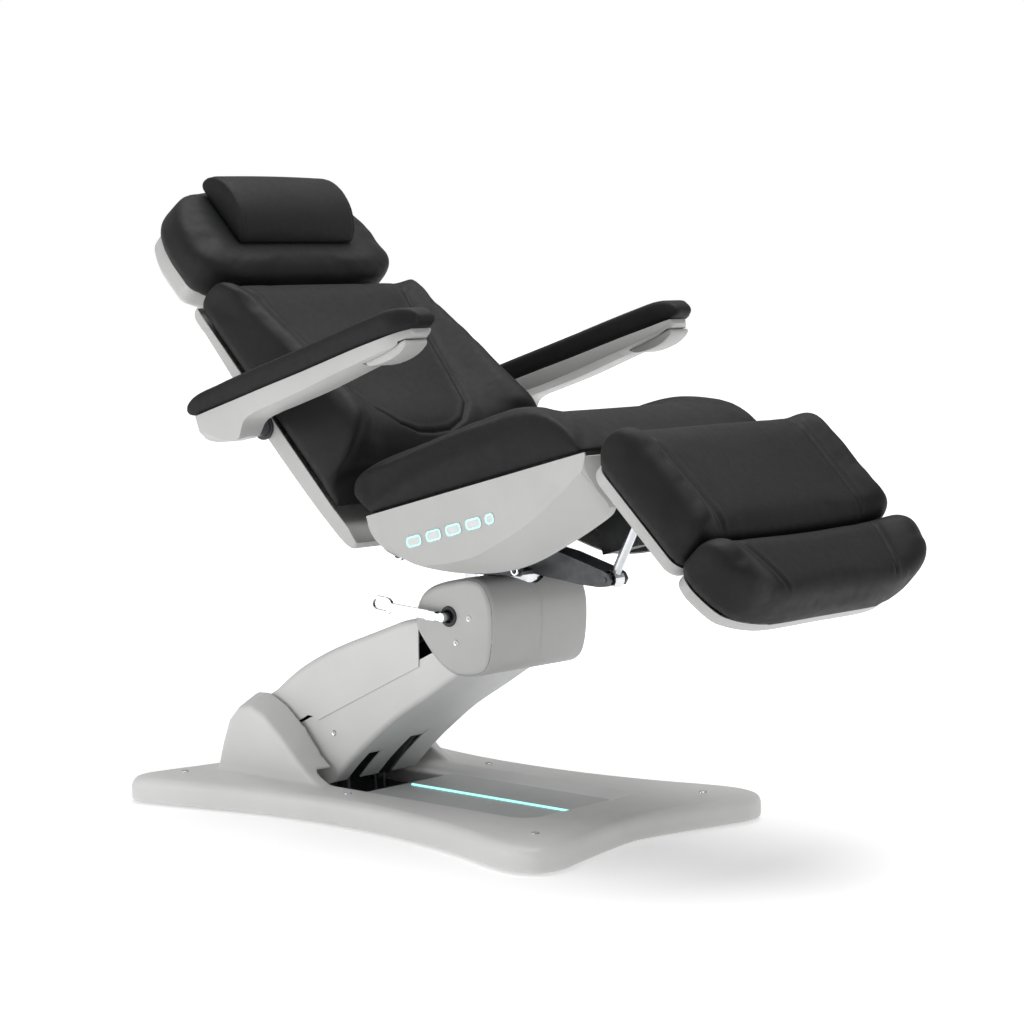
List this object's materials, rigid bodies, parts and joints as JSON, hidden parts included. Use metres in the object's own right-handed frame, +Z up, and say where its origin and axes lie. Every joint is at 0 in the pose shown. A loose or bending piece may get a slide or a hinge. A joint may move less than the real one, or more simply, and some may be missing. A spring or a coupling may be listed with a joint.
{
  "type": "facial treatment bed",
  "caption": "Electric facial treatment bed: reclining padded top with armrests, headrest and leg rest on a tilting column and a low moulded floor base.",
  "frame": {"origin": "centre of the base on the floor, on the flat underside of the steel base plate", "axes": "+X towards the foot rest, +Y towards the left side of a person lying on it, +Z up"},
  "size_m": [1.639, 0.896, 1.2967],
  "materials": {
    "shell": "satin",
    "shell_grey": "satin",
    "upholstery": "fine grain",
    "frame": "satin",
    "black_plastic": "matte",
    "bright_metal": "polished",
    "light": "lit diffuser",
    "keys": "satin"
  },
  "bodies": {
    "base": {"base_plate": "frame", "base_cover": "shell", "well_floor": "shell_grey", "led_strip": "light", "power_inlet": "black_plastic"},
    "lower_link": {"lower_link": "frame", "column_cover_lower": "shell"},
    "upper_link": {"upper_link": "frame", "column_cover_upper": "shell"},
    "lift_motor": {"lift_motor": "black_plastic"},
    "lift_rod": {"lift_rod": "bright_metal"},
    "pod": {"pod_frame": "frame", "pod_cover_near": "shell", "pod_cover_far": "shell", "swivel_bearing": "bright_metal"},
    "lock_lever": {"lock_lever": "bright_metal"},
    "turntable": {"turntable": "frame"},
    "seat": {"seat_frame": "frame", "back_hinge_rod": "bright_metal", "leg_hinge_rod": "bright_metal", "seat_shell": "shell", "seat_cushion": "upholstery", "control_box": "black_plastic", "gearmotor_cover": "frame", "back_motor": "black_plastic", "leg_motor": "black_plastic"},
    "tilt_motor": {"tilt_motor": "black_plastic"},
    "tilt_rod": {"tilt_rod": "bright_metal"},
    "gas_tube": {"gas_tube": "black_plastic"},
    "gas_rod": {"gas_rod": "bright_metal"},
    "back_rod": {"back_rod": "bright_metal"},
    "leg_rod": {"leg_rod": "bright_metal"},
    "back": {"back_frame": "frame", "back_shell": "shell", "back_cushion": "upholstery", "arm_pivot_left": "frame", "arm_pivot_right": "frame"},
    "head_posts": {"head_posts": "bright_metal"},
    "head": {"head_plate": "frame", "head_shell": "shell", "head_cushion": "upholstery", "pillow": "upholstery"},
    "leg": {"leg_frame": "frame", "leg_shell": "shell", "leg_cushion": "upholstery"},
    "foot": {"foot_frame": "frame", "foot_shell": "shell", "foot_cushion": "upholstery"},
    "arm_left": {"arm_shell_left": "shell", "arm_pad_left": "upholstery"},
    "arm_release_left": {"arm_release_left": "shell_grey"},
    "arm_right": {"arm_shell_right": "shell", "arm_pad_right": "upholstery"},
    "arm_release_right": {"arm_release_right": "shell_grey"},
    "seat_button_1": {"seat_button_1": "keys"},
    "seat_button_2": {"seat_button_2": "keys"},
    "seat_button_3": {"seat_button_3": "keys"},
    "seat_button_4": {"seat_button_4": "keys"},
    "seat_button_5": {"seat_button_5": "keys"}
  },
  "joints": [
    {"name": "lift", "type": "hinge", "parent": "base", "child": "lower_link", "pos_m": [-0.3, 0, 0.105], "axis": [0, -1, 0], "range_deg": [-25, 10]},
    {"name": "upper_link_pivot", "type": "hinge", "parent": "base", "child": "upper_link", "pos_m": [-0.335, 0, 0.15], "axis": [0, -1, 0], "range_deg": [-25, 10]},
    {"name": "pod_level", "type": "hinge", "parent": "lower_link", "child": "pod", "pos_m": [0.13987, 0, 0.34482], "axis": [0, -1, 0], "range_deg": [-10, 25]},
    {"name": "lift_motor_pivot", "type": "hinge", "parent": "base", "child": "lift_motor", "pos_m": [-0.215, 0.0235, 0.042], "axis": [0, -1, 0], "range_deg": [-28, 12]},
    {"name": "lift_rod_slide", "type": "slide", "parent": "lift_motor", "child": "lift_rod", "axis": [0.6796, 0, 0.7336], "range_m": [-0.045, 0.02]},
    {"name": "swivel", "type": "hinge", "parent": "pod", "child": "turntable", "pos_m": [0.16, 0, 0.5], "axis": [0, 0, 1], "range_deg": [-120, 120]},
    {"name": "lock_lever_pivot", "type": "hinge", "parent": "pod", "child": "lock_lever", "pos_m": [0.148, -0.15, 0.427], "axis": [0, 1, 0], "range_deg": [0, 25]},
    {"name": "seat_tilt", "type": "hinge", "parent": "turntable", "child": "seat", "pos_m": [0.18, 0, 0.56], "axis": [0, -1, 0], "range_deg": [-15.5, 4.5]},
    {"name": "tilt_motor_pivot", "type": "hinge", "parent": "seat", "child": "tilt_motor", "pos_m": [0.55499, 0, 0.73456], "axis": [0, -1, 0], "range_deg": [-8, 2.5]},
    {"name": "tilt_rod_slide", "type": "slide", "parent": "tilt_motor", "child": "tilt_rod", "axis": [-0.4478, 0, -0.8942], "range_m": [-0.066, 0.02]},
    {"name": "gas_tube_pivot", "type": "hinge", "parent": "seat", "child": "gas_tube", "pos_m": [0.44497, -0.089, 0.66202], "axis": [0, -1, 0], "range_deg": [-4, 1.2]},
    {"name": "gas_rod_slide", "type": "slide", "parent": "gas_tube", "child": "gas_rod", "axis": [-0.7821, 0, -0.6232], "range_m": [-0.022, 0.007]},
    {"name": "back_recline", "type": "hinge", "parent": "seat", "child": "back", "pos_m": [0.02993, 0, 0.62216], "axis": [0, 1, 0], "range_deg": [-60.5, 24]},
    {"name": "back_rod_slide", "type": "slide", "parent": "seat", "child": "back_rod", "axis": [0.9636, 0, 0.2672], "range_m": [-0.03, 0.071]},
    {"name": "leg_raise", "type": "hinge", "parent": "seat", "child": "leg", "pos_m": [0.62769, 0, 0.7568], "axis": [0, 1, 0], "range_deg": [-59, 31.5]},
    {"name": "leg_rod_slide", "type": "slide", "parent": "seat", "child": "leg_rod", "axis": [0.9636, 0, 0.2672], "range_m": [-0.032, 0.059]},
    {"name": "foot_extend", "type": "slide", "parent": "leg", "child": "foot", "axis": [0.7254, 0, -0.6884], "range_m": [0, 0.15]},
    {"name": "head_extend", "type": "slide", "parent": "back", "child": "head_posts", "axis": [-0.7071, 0, 0.7071], "range_m": [0, 0.07]},
    {"name": "head_tilt", "type": "hinge", "parent": "head_posts", "child": "head", "pos_m": [-0.45797, 0, 1.03935], "axis": [0, 1, 0], "range_deg": [-25, 5]},
    {"name": "arm_swing_left", "type": "hinge", "parent": "back", "child": "arm_left", "pos_m": [-0.22048, 0.316, 0.79329], "axis": [0, -1, 0], "range_deg": [-62, 110]},
    {"name": "arm_release_press_left", "type": "slide", "parent": "arm_left", "child": "arm_release_left", "axis": [-0.3338, 0, 0.9426], "range_m": [0, 0.003], "stiffness_N_per_m": 900, "springref_m": -0.001},
    {"name": "arm_swing_right", "type": "hinge", "parent": "back", "child": "arm_right", "pos_m": [-0.22048, -0.316, 0.79329], "axis": [0, -1, 0], "range_deg": [-62, 110]},
    {"name": "arm_release_press_right", "type": "slide", "parent": "arm_right", "child": "arm_release_right", "axis": [-0.3338, 0, 0.9426], "range_m": [0, 0.003], "stiffness_N_per_m": 900, "springref_m": -0.001},
    {"name": "seat_button_press_1", "type": "slide", "parent": "seat", "child": "seat_button_1", "axis": [0, 1, 0], "range_m": [0, 0.0015], "stiffness_N_per_m": 500, "springref_m": -0.0004},
    {"name": "seat_button_press_2", "type": "slide", "parent": "seat", "child": "seat_button_2", "axis": [0, 1, 0], "range_m": [0, 0.0015], "stiffness_N_per_m": 500, "springref_m": -0.0004},
    {"name": "seat_button_press_3", "type": "slide", "parent": "seat", "child": "seat_button_3", "axis": [0, 1, 0], "range_m": [0, 0.0015], "stiffness_N_per_m": 500, "springref_m": -0.0004},
    {"name": "seat_button_press_4", "type": "slide", "parent": "seat", "child": "seat_button_4", "axis": [0, 1, 0], "range_m": [0, 0.0015], "stiffness_N_per_m": 500, "springref_m": -0.0004},
    {"name": "seat_button_press_5", "type": "slide", "parent": "seat", "child": "seat_button_5", "axis": [0, 1, 0], "range_m": [0, 0.0015], "stiffness_N_per_m": 500, "springref_m": -0.0004}
  ],
  "couplings": [
    {"joint": "upper_link_pivot", "follows": "lift", "ratio": 1},
    {"joint": "pod_level", "follows": "lift", "ratio": -1},
    {"joint": "lift_motor_pivot", "follows": "lift", "ratio": 1.1},
    {"joint": "lift_rod_slide", "follows": "lift", "m_per_rad": 0.1},
    {"joint": "tilt_motor_pivot", "follows": "seat_tilt", "ratio": 0.5},
    {"joint": "tilt_rod_slide", "follows": "seat_tilt", "m_per_rad": 0.238},
    {"joint": "gas_tube_pivot", "follows": "seat_tilt", "ratio": 0.25},
    {"joint": "gas_rod_slide", "follows": "seat_tilt", "m_per_rad": 0.08},
    {"joint": "back_rod_slide", "follows": "back_recline", "m_per_rad": -0.0655},
    {"joint": "leg_rod_slide", "follows": "leg_raise", "m_per_rad": -0.056}
  ]
}
